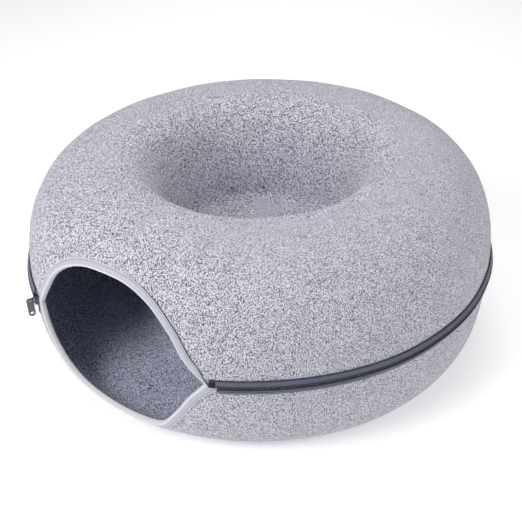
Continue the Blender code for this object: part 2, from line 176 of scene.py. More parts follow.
class CatCaveZip(bpy.types.PropertyGroup):
    """The zip round the widest line, its slider and its puller."""

    tape: length("Tape thickness", "Thickness of the zip's tape", 0.0010)
    tape_low: length("Upper tape from", "Lower edge of the upper tape", 0.0003)
    tape_far: length("Upper tape to", "Upper edge of the upper tape", 0.0060)
    tape_rise: length("Upper tape stands off", "How far its lower edge stands off the felt", 0.0031)
    chain_low: length("Chain from", "Upper side of the coil, below the widest line", 0.0004)
    chain_far: length("Chain to", "Lower side of the coil, below the widest line", 0.0038)
    chain_rise: length("Chain stands off above", "Its upper side over the felt", 0.0031)
    chain_rise_far: length("Chain stands off below", "Its lower side over the felt", 0.0024)
    chain: length("Chain thickness", "Foot to crest of the coil", 0.0014)
    lower_low: length("Lower tape from", "Upper edge of the lower tape", 0.0041)
    lower_far: length("Lower tape to", "Lower edge of the lower tape", 0.0084)
    lower_rise: length("Lower tape stands off", "How far its upper edge stands off the felt", 0.0022)
    bands_left: length("Left end", "Left end of tapes and chain, across the front", -0.1248)
    tape_right: length("Upper tape's right end", "Right end, across the front", 0.1166)
    stop_from: length("End stop from", "Inner side of the dark end stop", 0.1105)
    stop_to: length("End stop to", "Outer side of the dark end stop", 0.1163)
    stop: length("End stop thickness", "Thickness of the dark end stop", 0.0019)
    lower_right: length("Chain's right end", "Right end of chain and lower tape", 0.1178)
    pitch: length("Coil pitch", "Distance from tooth to tooth of one half", 0.0014)
    tooth: length("Coil wire", "Half the thickness of the coil's wire", 0.00034)
    scallop: length("Scallop pitch", "Distance between the stitches on a tape's edge", 0.0021)
    slider_across: length("Slider place", "Place of the slider across the front", -0.1195)
    slider_drop: length("Slider drop", "Slider's middle below the widest line", 0.0021)
    slider_length: length("Slider length", "Length of the slider along the zip", 0.0100)
    slider_width: length("Slider width", "Width of the slider at its mouth", 0.0084)
    slider_back: length("Slider tail width", "Width of the slider over the chain", 0.0066)
    slider_low: length("Slider underside", "Underside of the slider over the felt", 0.0010)
    slider_high: length("Slider top", "Top of the slider over the felt", 0.0052)
    bridge: length("Bridge thickness", "Thickness of the loop on the slider", 0.0014)
    bridge_span: length("Bridge span", "Length of the loop along the zip", 0.0072)
    bridge_out: length("Bridge height", "Middle of the loop's top over the felt", 0.0088)
    puller: length("Puller thickness", "Thickness of the pull tab", 0.0014)
    puller_width: length("Puller width", "Width of the pull tab", 0.0066)
    puller_length: length("Puller length", "Length of the pull tab", 0.0205)
    puller_lean: angle("Puller lean", "How far the tab's foot swings towards the felt", 1)
    eye_r: length("Puller eye radius", "Hole that the bridge passes through", 0.00145)
    eye_in: length("Puller eye margin", "Eye's middle to the tab's edges", 0.0025)
    hole_r: length("Puller hole radius", "Round hole in the tab's end", 0.0019)
    tail_left: length("Tail left side", "Left side of the loose end", -0.1186)
    tail_right: length("Tail right side", "Right side of the loose end", -0.1150)
    tail_low: length("Tail underside", "Underside of the loose end over the felt", 0.0017)
    tail_high: length("Tail top", "Top of the loose end over the felt", 0.0029)
    tail_length: length("Tail length", "Length of the loose end", 0.0095)


class CatCaveColours(bpy.types.PropertyGroup):
    """Colours of the materials, as sRGB hex codes."""

    felt_light: colour("Light fibres", "Pale fibres of the felt", "#E1E1EE")
    # Painted shade: the inner face's pale fibres are tinted bluer, as the shade inside the ring
    # looks.
    felt_inner_shade_tint: colour("Inner fibres", "Pale fibres of the felt's inner face", "#E4E8FF")
    felt_dark: colour("Dark fibres", "Charcoal fibres among them", "#26252E")
    binding: colour("Binding tape", "Folded tape on the mouth", "#BCBCC4")
    # The binding's edge colour is a painted highlight on its fold and outer edge, and its groove
    # colour is painted shade along the stitches.
    binding_highlight: colour("Binding edge", "Its worn fold and outer edge", "#E6E6EC")
    binding_groove: colour("Binding groove", "Its shaded line of stitches", "#94949F")
    # A painted shadow: the dark colour on the upper tape's outer edge, where it stands off the felt.
    binding_painted_shadow: colour("Binding raw edge", "Its raw edge where it stands off", "#2B2B35")
    thread: colour("Thread", "Sewing thread of the binding", "#B9B9C2")
    zip_tape: colour("Zip tape", "Woven tape of the zip", "#696C83")
    # The stitch colour also paints shade on the tapes' edges, the coil's sides and its core; the
    # next colour is a painted highlight on the coil's crest and a tape's edge.
    zip_stitches_and_shade: colour("Zip stitches", "Stitches and shaded edges of the zip", "#1F202B")
    zip_highlight: colour("Worn zip", "Rubbed ridges of coil and tape", "#9A9CAB")
    coil: colour("Coil", "Nylon coil of the zip", "#565868")
    sealed: colour("Sealed end", "Heat-sealed ends of the zip", "#101119")
    metal: colour("Slider metal", "Cast metal of slider and puller", "#666C70")
    floor: colour("Floor", "Pale floor", "#FAFAFA")


class CatCaveStage(bpy.types.PropertyGroup):
    """Camera and lights."""

    azimuth: angle("Camera side angle", "Side angle the camera looks from", 36.15)
    elevation: angle("Camera elevation", "Camera's height as an angle", 32.75)
    distance: length("Camera distance", "Camera to the point it aims at", 0.9966)
    aim_z: length("Aim height", "Height of the aimed point on the ring's axis", 0.0786)
    roll: angle("Camera roll", "Turn of the camera about its own axis", -0.594)
    lens: number("Focal length", "Focal length in mm on a 36 mm sensor", 62.08)
    shift_x: number("Shift x", "Sideways shift as a share of the picture", 0.00297)
    shift_y: number("Shift y", "Upward shift as a share of the picture", -0.02902)
    key: power("Key light", "Power of the soft light at the front left", 17.5)
    side: power("Side light", "Power of the soft light at the right", 8.5)
    top: power("Top light", "Power of the soft light overhead", 10.5)
    back: power("Back light", "Power of the soft light at the back left", 4.5)
    sky: number("Surrounding light", "Strength of the even light from all round", 0.17)
    backdrop: number("Backdrop", "Brightness of the surroundings as they are seen", 0.90)
    glow: number("Floor glow", "Strength of the floor's own light", 0.30)


class CatCaveSettings(bpy.types.PropertyGroup):
    """All settings of the cat cave."""

    ring: PointerProperty(type=CatCaveRing, name="Ring", description="The hollow ring")
    mouth: PointerProperty(type=CatCaveMouth, name="Mouth", description="Mouth and binding")
    zip: PointerProperty(type=CatCaveZip, name="Zip", description="Zip, slider and puller")
    colours: PointerProperty(type=CatCaveColours, name="Colours", description="Colours")
    stage: PointerProperty(type=CatCaveStage, name="Stage", description="Camera and lights")


def settings():
    """The scene's settings of the cat cave."""
    return bpy.context.scene.cat_cave


# The mouth's cut edge, laid flat: points between its left and its right corner.
MOUTH_UPPER = (  # across, up
    (-0.0908, 0.0261),
    (-0.0755, 0.0493),
    (-0.0604, 0.0630),
    (-0.0402, 0.0731),
    (-0.0090, 0.0782),
    (0.0261, 0.0760),
    (0.0530, 0.0645),
    (0.0739, 0.0445),
    (0.0901, 0.0191),
)
MOUTH_LOWER = (  # across, down
    (-0.0995, 0.0276),
    (-0.0862, 0.0460),
    (-0.0670, 0.0655),
    (-0.0382, 0.0788),
    (-0.0080, 0.0822),
    (0.0241, 0.0841),
    (0.0526, 0.0763),
    (0.0743, 0.0502),
    (0.0919, 0.0205),
)


# Array work that repeats.

def bell(at, middle, wide):
    """A bell curve: e to the minus square of (at - middle) / wide."""
    return np.exp(-((at - middle) / wide) ** 2)


def eased(t):
    """A smooth step from 0 to 1: 3 t^2 - 2 t^3."""
    return t ** 2 * (3 - 2 * t)


def circle(sides):
    """Even angles once round."""
    return np.linspace(0, 2 * math.pi, sides, endpoint=False)


def squared_cos(turn, power):
    """The cosine's size raised to a power, with its sign, which squares an ellipse's ends."""
    return np.sign(np.cos(turn)) * np.abs(np.cos(turn)) ** power


def to_unit(pairs):
    """Pairs scaled to a length of 1."""
    return pairs / np.hypot(pairs[:, 0], pairs[:, 1])[:, None]


def read_at(spots, run, curve):
    """Both columns of a curve at these lengths of its run."""
    return [np.interp(spots, run, curve[:, k]) for k in (0, 1)]


# The ring's shape.

def quarter(centre_r, centre_z, reach_r, reach_z, power):
    """A quarter superellipse: cos^(2/power) of one reach and sin^(2/power) of the other."""
    turn = np.linspace(0, math.pi / 2, LINE_STEPS)
    radius = centre_r + reach_r * np.cos(turn).clip(0) ** (2 / power)
    height = centre_z + reach_z * np.sin(turn) ** (2 / power)
    return np.stack([radius, height], axis=1)


class Section:
    """One shell's outer face from the widest line to the ring's axis, read by arc length."""

    def __init__(self, stretches, side):
        line = np.concatenate([s[1:] if i else s for i, s in enumerate(stretches)])
        steps = np.hypot(*np.diff(line, axis=0).T)
        self.arcs = np.concatenate([[0], np.cumsum(steps)]) - GAP / 2
        ends = np.cumsum([len(s) - (i > 0) for i, s in enumerate(stretches)]) - 1
        self.marks = [self.arcs[i] for i in ends]
        self.line = line
        slope = to_unit(np.gradient(line, self.arcs, axis=0))
        self.normal = np.stack([slope[:, 1], -slope[:, 0]], axis=1) * side

    def at(self, arc, over):
        """Radius and height of the places this far along the felt and this far over it."""
        r, z = read_at(arc, self.arcs, self.line)
        nr, nz = read_at(arc, self.arcs, self.normal)
        return r + nr * over, z + nz * over


def upper_section():
    """Up over the crown, down the basin's wall and in over its floor."""
    ring = settings().ring
    floor_z = ring.upper_neck_z - ring.fillet_r
    floor_r = ring.neck_r - ring.fillet_r
    outer = (ring.widest_r - ring.crown_r, ring.height - ring.widest_z, ring.outer_power)
    wall = (ring.neck_r - ring.crown_r, ring.height - ring.upper_neck_z, ring.basin_power)
    return Section([
        quarter(ring.crown_r, ring.widest_z, *outer),
        quarter(ring.crown_r, ring.upper_neck_z, *wall)[::-1],
        quarter(floor_r, ring.upper_neck_z, ring.fillet_r, -ring.fillet_r, 2),
        np.array([(floor_r, floor_z), (0.0, floor_z)]),
    ], 1)


def lower_section():
    """Down to the flat foot, up the recess under the ring and in below the basin's floor."""
    ring = settings().ring
    floor_z = ring.lower_neck_z + ring.fillet_r
    floor_r = ring.neck_r - ring.fillet_r
    outer = (ring.widest_r - ring.base_r, -ring.widest_z, ring.under_power)
    wall = (ring.neck_r - ring.base_inner_r, -ring.lower_neck_z, ring.recess_power)
    return Section([
        quarter(ring.base_r, ring.widest_z, *outer),
        np.array([(ring.base_r, 0.0), (ring.base_inner_r, 0.0)]),
        quarter(ring.base_inner_r, ring.lower_neck_z, *wall)[::-1],
        quarter(floor_r, ring.lower_neck_z, ring.fillet_r, ring.fillet_r, 2),
        np.array([(floor_r, floor_z), (0.0, floor_z)]),
    ], -1)


def place(side, radius, height):
    """Put places of the section at their side angles, with the ring's oval, lean and droop.

    The droop and the sag lower them by (1 - t^2)^2 of their depth at t of their reach.
    """
    ring = settings().ring
    stretch = 1 + ring.oval * np.cos(2 * (side - ring.oval_towards))
    x = radius * stretch * np.sin(side)
    y = -radius * stretch * np.cos(side)
    share = np.clip(height / ring.widest_z, 0, 1)
    z = height + eased(share) * (ring.lean_x * x + ring.lean_y * y)
    for depth, towards, spread in (
            (ring.droop, ring.droop_towards, ring.droop_spread),
            (ring.sag, ring.sag_towards, ring.sag_spread)):
        aside = (side - towards + math.pi) % (2 * math.pi) - math.pi
        far = (aside / spread) ** 2 + ((height - ring.widest_z) / ring.droop_tall) ** 2
        z = z - depth * (1 - np.clip(far, 0, 1)) ** 2
    return np.stack([x, y + ring.axis_y, z], axis=-1)


def on_felt(section, across, arc, over):
    """Points in space from places on the flattened felt and heights over it.

    Ripples, products of sines of the side angle and the arc, lift and sink them, and die
    out at the foot.
    """
    ring = settings().ring
    side = across / ring.widest_r
    clear = np.clip(section.at(arc, 0.0)[1] / RIPPLE_CLEAR - 0.5, 0, 1)
    stray = (
        np.sin(5 * side + 31 * arc + 0.7) * np.sin(3 * side - 17 * arc)
        + 0.6 * np.sin(11 * side + 1.9) * np.sin(47 * arc + 2 * side)
        + 0.4 * np.sin(17 * side - 60 * arc + 0.4)
    )
    radius, height = section.at(arc, over + ring.ripple * clear * stray)
    return place(side, radius, height)


def cut_edge(table):
    """Half of the mouth's edge: cubic pieces through the table's points and both corners.

    Each point has the slope of the chord between its neighbours.
    """
    mouth = settings().mouth
    points = np.array([(mouth.left, 0.0), *table, (mouth.right, 0.0)])
    knots = run_of(points)
    slopes = np.gradient(points, knots, axis=0)
    fine = np.linspace(0, knots[-1], LINE_STEPS)
    i = np.clip(np.searchsorted(knots, fine, side="right") - 1, 0, len(knots) - 2)
    span = knots[i + 1] - knots[i]
    t = ((fine - knots[i]) / span)[:, None]
    return (
        (2 * t ** 3 - 3 * t ** 2 + 1) * points[i]
        + (t ** 3 - 2 * t ** 2 + t) * span[:, None] * slopes[i]
        + (3 * t ** 2 - 2 * t ** 3) * points[i + 1]
        + (t ** 3 - t ** 2) * span[:, None] * slopes[i + 1]
    )


def run_of(curve):
    """Length along a curve at each of its points."""
    return np.concatenate([[0], np.cumsum(np.hypot(*np.diff(curve, axis=0).T))])


def even_line(curve, steps):
    """The same curve read at even steps along its length."""
    run = run_of(curve)
    line = np.stack(read_at(np.linspace(0, run[-1], steps + 1), run, curve), axis=1)
    line[:, 1] = line[:, 1].clip(0)
    return line


# Meshes.

def grid_faces(rows, columns, closed_rows=False, closed_columns=False, first=0):
    """Quads between neighbouring points of a grid, which may close on itself."""
    r = np.arange(rows - (not closed_rows))[:, None]
    c = np.arange(columns - (not closed_columns))[None]
    s, d = (r + 1) % rows, (c + 1) % columns
    corners = [r * columns + c, s * columns + c, s * columns + d, r * columns + d]
    return first + np.stack([q.ravel() for q in corners], axis=1)


def face_out(mesh):
    """Turn a closed mesh's faces outwards if its signed volume is negative."""
    mesh.calc_loop_triangles()
    points = np.empty(len(mesh.vertices) * 3, np.float32)
    mesh.vertices.foreach_get("co", points)
    corners = np.empty(len(mesh.loop_triangles) * 3, np.int32)
    mesh.loop_triangles.foreach_get("vertices", corners)
    a, b, c = points.reshape(-1, 3)[corners.reshape(-1, 3)].transpose(1, 0, 2)
    if np.einsum("ij,ij->", a, np.cross(b, c)) < 0:
        mesh.flip_normals()


def add_object(name, data):
    """Make an object of this data and link it to the scene."""
    made = bpy.data.objects.new(name, data)
    bpy.context.scene.collection.objects.link(made)
    return made


def add_piece(name, points, faces, material, stands_for=(), marks=None):
    """Make a piece of the bed from points and arrays of faces, and let it ride on the frame.

    marks names attributes of the points, such as their places on the flattened felt.
    """
    points = points.reshape(-1, 3)
    sizes = np.concatenate([np.full(len(f), f.shape[1]) for f in faces])
    starts = np.concatenate([[0], np.cumsum(sizes)[:-1]])
    loops = np.concatenate([f.ravel() for f in faces])
    mesh = bpy.data.meshes.new(name)
    mesh.vertices.add(len(points))
    mesh.vertices.foreach_set("co", points.astype(np.float32).ravel())
    mesh.loops.add(len(loops))
    mesh.loops.foreach_set("vertex_index", loops.astype(np.int32))
    mesh.polygons.add(len(sizes))
    mesh.polygons.foreach_set("loop_start", starts.astype(np.int32))
    mesh.update(calc_edges=True)
    mesh.validate()
    face_out(mesh)
    mesh.shade_smooth()
    mesh.set_sharp_from_angle(angle=SMOOTH_ANGLE)
    for mark, values in (marks or {}).items():
        kind, key = (("FLOAT", "value") if values.size == len(points)
                     else ("FLOAT_VECTOR", "vector"))
        held = mesh.attributes.new(mark, kind, "POINT")
        held.data.foreach_set(key, values.astype(np.float32).ravel())
    mesh.materials.append(material)
    piece = add_object(name, mesh)
    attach(piece, "root")
    if stands_for:
        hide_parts(*stands_for)
    return piece


def rod_faces(count, rings, sides, before=0):
    """Faces of rods with flat ends, each a run of equal closed rings.

    before is the number of rods whose points come first.
    """
    size = rings * sides
    first = ((np.arange(count) + before) * size)[:, None, None]
    quads = grid_faces(rings, sides, closed_columns=True)[None]
    caps = np.stack([np.arange(sides)[::-1], size - sides + np.arange(sides)])[None]
    return [(first + quads).reshape(-1, 4), (first + caps).reshape(-1, sides)]


def swept(rings):
    """Faces of one solid from equal closed rings, one after another, with flat ends."""
    return rod_faces(1, *rings.shape[:2])


def capsules(section, across, arc, aim, over, half, radius, rings=6, sides=8):
    """Points and faces of small round-ended rods on the felt, one for each place.

    Ring u of a rod, from 0 to pi, lies at -cos(u) of its half length and has sin(u)^0.6 of
    its radius. aim is each rod's direction on the flattened felt.
    """
    u = np.linspace(0.09, 0.91, rings)[None, :, None] * math.pi
    v = circle(sides)[None, None]
    along, around = -half * np.cos(u), radius * np.sin(u) ** 0.6
    ax, ay = aim[:, 0, None, None], aim[:, 1, None, None]
    beside = around * np.cos(v)
    x = across[:, None, None] + along * ax - beside * ay
    y = arc[:, None, None] + along * ay + beside * ax
    up = np.broadcast_to(over, across.shape)[:, None, None] + around * np.sin(v)
    return on_felt(section, x, y, up), rod_faces(len(across), rings, sides)


# Materials.

def linear(code):
    """Turn an sRGB hex code into linear red, green, blue and alpha."""
    parts = [int(code[i:i + 2], 16) / 255 for i in (1, 3, 5)]
    return [p / 12.92 if p <= 0.04045 else ((p + 0.055) / 1.055) ** 2.4 for p in parts] + [1.0]


def add_node(tree, kind, inputs=None, **choices):
    """Add one node with its choices, and its inputs as values or as links."""
    made = tree.nodes.new(kind)
    for key, value in choices.items():
        setattr(made, key, value)
    for key, value in (inputs or {}).items():
        if isinstance(value, bpy.types.NodeSocket):
            tree.links.new(value, made.inputs[key])
        else:
            made.inputs[key].default_value = value
    return made


def new_material(name, **values):
    """A material with one Principled shader, and the values of its sockets."""
    material = bpy.data.materials.new(name)
    material.use_nodes = True
    shader = material.node_tree.nodes["Principled BSDF"]
    for key, value in values.items():
        shader.inputs[key.replace("_", " ")].default_value = value
    return material, material.node_tree, shader


def object_place(tree):
    """A point's place on its object, in metres."""
    return add_node(tree, "ShaderNodeTexCoord").outputs["Object"]


def attribute(tree, name, output="Fac"):
    """What the mesh holds for its points under this name."""
    return add_node(tree, "ShaderNodeAttribute", attribute_name=name).outputs[output]


def noise(tree, spot, lump, detail=2.0, roughness=0.5):
    """A noise from 0 to 1 whose lumps have this size, in metres."""
    return add_node(tree, "ShaderNodeTexNoise", {
        "Vector": spot, "Scale": 1 / lump, "Detail": detail,
        "Roughness": roughness}).outputs["Fac"]


def waves(tree, spot, pitch, distortion, direction):
    """Waves from 0 to 1, this far apart in metres: Blender's scale for them is pi/10/pitch."""
    return add_node(tree, "ShaderNodeTexWave", {
        "Vector": spot, "Scale": math.pi / 10 / pitch, "Distortion": distortion},
        bands_direction=direction).outputs["Fac"]


def ranged(tree, value, start, end, low=0.0, high=1.0):
    """Runs from low to high while the value runs from start to end, and stays there."""
    return add_node(tree, "ShaderNodeMapRange", {
        "Value": value, "From Min": start, "From Max": end,
        "To Min": low, "To Max": high}).outputs[0]


def combined(tree, operation, first, second, clamp=False):
    """Two values added, subtracted or multiplied, and held from 0 to 1 if clamped."""
    return add_node(tree, "ShaderNodeMath", {0: first, 1: second},
                    operation=operation, use_clamp=clamp).outputs[0]


def blended(tree, share, first, second):
    """Two colours mixed by the second one's share."""
    return add_node(tree, "ShaderNodeMix", {0: share, 6: first, 7: second},
                    data_type="RGBA").outputs[2]


def bump(tree, shader, height, strength, distance):
    """Raise the shader's surface by a height from 0 to 1 times a distance in metres."""
    made = add_node(tree, "ShaderNodeBump", {
        "Height": height, "Strength": strength, "Distance": distance})
    tree.links.new(made.outputs[0], shader.inputs["Normal"])


def fibre_pattern(tree, spot, cell):
    """Share of dark fibres at a place, from 0 to 1, and the height of the nap.

    Dark flecks lie among pale ones where a noise of this cell size is high, and a noise of
    half the size roughens them. Single fibres are far finer, so the flecks are as fine as
    still show. Clumps of 16 mm shade them faintly.
    """
    fine = noise(tree, spot, cell / 2, 0.0)
    flecks = ranged(tree, noise(tree, spot, cell, 0.0), 0.50, 0.56)
    rough = ranged(tree, fine, 0.40, 0.60, -0.10, 0.14)
    clumps = ranged(tree, noise(tree, spot, 0.016, 1.0), 0.35, 0.65, -0.03, 0.03)
    speckled = combined(tree, "ADD", flecks, rough)
    return combined(tree, "ADD", speckled, clumps, True), fine


def felt_material():
    """Needle-punched polyester felt, pressed hot over a form.

    It is matt, with a faint bloom of loose fibres, and pale fibres mixed with charcoal ones.
    On the walls, which the form drew out, the fibres lie along the draw, and they pass into
    the plain mix in patches. The attribute named inner is 1 on the inner face, whose pale
    fibres are tinted bluer as painted shade.
    """
    colours = settings().colours
    material, tree, shader = new_material(
        "needle_punched_polyester_felt", Roughness=0.95, Sheen_Weight=0.2,
        Sheen_Roughness=0.6, Specular_IOR_Level=0.12)
    place_on = object_place(tree)
    ahead = combined(tree, "SUBTRACT", attribute(tree, "drawn"), noise(tree, place_on, 0.010))
    share = ranged(tree, ahead, -0.04, 0.04)
    plain = fibre_pattern(tree, place_on, PLAIN_FLECK)
    drawn = fibre_pattern(tree, attribute(tree, "lie", "Vector"), DRAWN_FLECK)
    dark, nap = (
        add_node(tree, "ShaderNodeMix", {0: share, 2: first, 3: second}).outputs[0]
        for first, second in zip(plain, drawn))
    # The inner face's pale fibres are tinted bluer as painted shade.
    pale = blended(tree, attribute(tree, "inner"),
                   linear(colours.felt_light), linear(colours.felt_inner_shade_tint))
    tint = blended(tree, dark, pale, linear(colours.felt_dark))
    tree.links.new(tint, shader.inputs["Base Color"])
    bump(tree, shader, nap, 0.5, 0.0004)
    return material


def binding_material(name):
    """A folded knit tape of matt polyester: smooth and pale, with fine ribs along it.

    Its fold and its outer edge are painted paler as a painted highlight, and the line of
    stitches darker as painted shade, as an attribute says: 1 on a highlit edge and -1 in the
    groove. Another attribute is 1 where a painted shadow darkens its outer edge, where it
    stands off the felt.
    """
    colours = settings().colours
    material, tree, shader = new_material(
        name, Roughness=0.7, Sheen_Weight=0.15, Sheen_Roughness=0.5, Specular_IOR_Level=0.25)
    strip = attribute(tree, "strip", "Vector")
    # Painted highlight on the fold and the outer edge, and painted shade in the line of stitches.
    wear = attribute(tree, "wear")
    painted_highlight = ranged(tree, wear, 0.0, 1.0, 0.0, 0.8)
    deep = ranged(tree, wear, 0.0, -1.0, 0.0, 0.8)
    soil = ranged(tree, noise(tree, strip, 0.0025, 3.0, 0.6), 0.35, 0.7, 0.0, 0.22)
    # Painted shade in the groove, with a faint random soil along the tape.
    shade = combined(tree, "ADD", deep, soil, True)
    tint = blended(tree, painted_highlight, linear(colours.binding), linear(colours.binding_highlight))
    tint = blended(tree, shade, tint, linear(colours.binding_groove))
    # A painted shadow darkens the upper tape's outer edge where it stands off the felt.
    tint = blended(tree, attribute(tree, "raw"), tint, linear(colours.binding_painted_shadow))
    tree.links.new(tint, shader.inputs["Base Color"])
    bump(tree, shader, waves(tree, strip, 0.0007, 0.6, "Y"), 0.25, 0.0001)
    return material


def toned(tree, tint, pale, dark):
    """A colour that the attribute named tone turns pale at 1 and dark at -1: a painted highlight and
    painted shade.
    """
    tone = attribute(tree, "tone")
    for full, code in ((1.0, pale), (-1.0, dark)):
        tint = blended(tree, ranged(tree, tone, 0.0, full), tint, linear(code))
    return tint


def zip_tape_material():
    """Woven polyester zip tape: a slate herringbone, soft, with a dull gloss.

    The ribs follow the tape's own places. Woven 0.4 mm apart in truth, they are drawn wide
    enough to show.
    """
    colours = settings().colours
    material, tree, shader = new_material(
        "woven_polyester_zip_tape", Roughness=0.62, Sheen_Weight=0.2, Sheen_Roughness=0.4,
        Specular_IOR_Level=0.35)
    strip = attribute(tree, "strip", "Vector")
    turned = add_node(tree, "ShaderNodeMapping", {
        "Vector": strip, "Rotation": (0.0, 0.0, math.radians(45))}).outputs[0]
    warp, weft = (waves(tree, turned, 0.0010, 0.4, way) for way in ("X", "Y"))
    weave = combined(tree, "MULTIPLY", warp, weft)
    between = ranged(tree, weave, 0.0, 1.0, 0.30, 0.0)
    uneven = ranged(tree, noise(tree, strip, 0.006, 3.0), 0.3, 0.7, 0.0, 0.14)
    dark = combined(tree, "ADD", between, uneven, True)
    tint = blended(tree, dark, linear(colours.zip_tape), linear(colours.zip_stitches_and_shade))
    # Painted highlight and painted shade along the tapes' edges, by their tone.
    tint = toned(tree, tint, colours.zip_highlight, colours.zip_stitches_and_shade)
    tree.links.new(tint, shader.inputs["Base Color"])
    bump(tree, shader, weave, 0.4, 0.0002)
    return material


def thread_material(name, code):
    """Spun polyester thread: a soft gloss, and plies that show as fine bumps."""
    material, tree, shader = new_material(
        name, Base_Color=linear(code), Roughness=0.7, Sheen_Weight=0.1)
    bump(tree, shader, noise(tree, object_place(tree), 0.0004, 1.0), 0.4, 0.0001)
    return material


def plastic_material(name, code, roughness, pale=None, dark=None):
    """Nylon, drawn or melted: smooth, with a soft gloss that is a little uneven.

    Two more colours show as a painted highlight where its tone is high and as painted shade where it
    is low.
    """
    material, tree, shader = new_material(name, Base_Color=linear(code), IOR=1.53)
    if pale:
        tree.links.new(toned(tree, linear(code), pale, dark), shader.inputs["Base Color"])
    gloss = ranged(tree, noise(tree, object_place(tree), 0.0015), 0.0, 1.0,
                   roughness - 0.1, roughness + 0.1)
    tree.links.new(gloss, shader.inputs["Roughness"])
    return material


def metal_material():
    """Zinc alloy, cast and tumbled, with a dark grey plating: satin, a little worn."""
    material, tree, shader = new_material(
        "tumbled_zinc_alloy", Base_Color=linear(settings().colours.metal), Metallic=1.0)
    tumbled = noise(tree, object_place(tree), 0.0008, 4.0, 0.6)
    tree.links.new(ranged(tree, tumbled, 0.3, 0.7, 0.36, 0.52), shader.inputs["Roughness"])
    bump(tree, shader, tumbled, 0.15, 0.0001)
    return material


# Felt shells.

def felt_shell(name, section, edge, rows_between, node):
    """One felt shell: outer face, inner face one felt thickness in, and the rim between.

    The rim follows the mouth's edge across the front and the widest line elsewhere. Rows of
    the wall share out what is left of it over each column, and further rows are rings.
    """
    ring, mouth = settings().ring, settings().mouth
    lap = 2 * math.pi * ring.widest_r
    edge = even_line(edge, MOUTH_COLUMNS)
    back = np.linspace(mouth.right, lap + mouth.left, BACK_COLUMNS + 1)[1:-1]
    across = np.concatenate([edge[:, 0], back])
    rim = np.concatenate([edge[:, 1], np.zeros(len(back))])
    share = np.linspace(0, 1, WALL_ROWS + 1)[:, None]
    arcs = [rim + share * (section.marks[0] - rim)]
    for start, end, rows in zip(section.marks, section.marks[1:], rows_between):
        steps = np.linspace(start, end, rows + 1)[1:]
        steps = steps[:-1] if end == section.marks[-1] else steps
        arcs.append(np.repeat(steps[:, None], len(across), axis=1))
    arcs = np.concatenate(arcs)
    across = np.broadcast_to(across, arcs.shape)
    skins = [on_felt(section, across, arcs, over) for over in (0.0, -ring.felt)]
    poles = [on_felt(section, 0.0, section.marks[-1], over) for over in (0.0, -ring.felt)]
    points = np.concatenate([*(s.reshape(-1, 3) for s in skins), poles])
    rows, columns = arcs.shape
    skin = rows * columns
    c = np.arange(columns)
    d = (c + 1) % columns
    last = skin - columns
    outer = grid_faces(rows, columns, closed_columns=True)
    faces = [
        outer,
        skin + outer[:, ::-1],
        np.stack([c, d, skin + d, skin + c], axis=1),
        np.stack([last + d, last + c, np.full(columns, 2 * skin)], axis=1),
        np.stack([skin + last + c, skin + last + d, np.full(columns, 2 * skin + 1)], axis=1),
    ]
    outside, inside, lie = fibre_lie(section, across, arcs)
    marks = {
        "drawn": np.concatenate([outside.ravel(), inside.ravel(), [0, 0]]),
        # 1 on the inner face, whose bluer tint is painted shade.
        "inner": np.repeat([0.0, 1.0, 0.0, 1.0], [skin, skin, 1, 1]),
        "lie": np.concatenate([lie.reshape(-1, 3), lie.reshape(-1, 3) + 0.5, np.zeros((2, 3))]),
    }
    piece = add_piece(name, points, faces, felt_material(), [node], marks)


def fibre_lie(section, across, arcs):
    """How far the pressing has drawn the fibres of each skin, and their drawn-out places.

    Outside, the outer wall is drawn, and inside, all the walls. The places lie on a cylinder
    and are read slowly along the arc, which lengthens the fibres that way: most on the side
    that is drawn most, by cos^2 of half the side angle from there.
    """
    widest = settings().ring.widest_r
    side = across / widest
    turned = np.cos((side - DRAWN_TOWARDS) / 2) ** 2
    outside = np.clip((section.marks[0] + DRAWN_FADE - arcs) / DRAWN_FADE, 0, 1)
    inside = np.clip((section.marks[-2] - arcs) / DRAWN_FADE, 0, 1)
    most = np.clip((turned - DRAWN_START) / DRAWN_GROWTH, 0, 1)
    pace = DRAWN_LEAST + (DRAWN_MOST - DRAWN_LEAST) * most
    lie = np.stack([widest * np.sin(side), -widest * np.cos(side), pace * arcs], axis=-1)
    return outside, inside, lie


class CATCAVE_OT_felt_shells(bpy.types.Operator):
    """Make the two pressed felt shells"""

    bl_idname = "cat_cave.felt_shells"
    bl_label = "Felt shells"

    def execute(self, context):
        upper_rows = (BASIN_ROWS, FILLET_ROWS, DISC_ROWS)
        lower_rows = (BASE_ROWS, RECESS_ROWS, FILLET_ROWS, DISC_ROWS)
        felt_shell("felt_upper", upper_section(), cut_edge(MOUTH_UPPER), upper_rows,
                   "upper_shell")
        felt_shell("felt_lower", lower_section(), cut_edge(MOUTH_LOWER), lower_rows,
                   "lower_shell")
        return {"FINISHED"}


# Binding.

# The tape's crown, and the half widths of its groove, of the bead beside the fold and of the
# painted highlights and painted shade across it.
TAPE_CROWN = 0.00005
GROOVE_WIDE = 0.00045
BEAD_IN = 0.0005
BEAD_WIDE = 0.0007
FOLD_HIGHLIGHT = 0.0007
EDGE_HIGHLIGHT = 0.0006
GROOVE_SHADE = 0.0005

# A painted shadow darkens the upper tape's outer edge over the last shares of its width, and
# right of this place, where it grows over a length.
SHADOW_SHARES = (0.92, 0.97)
SHADOW_ACROSS = 0.01
SHADOW_GROWTH = 0.04


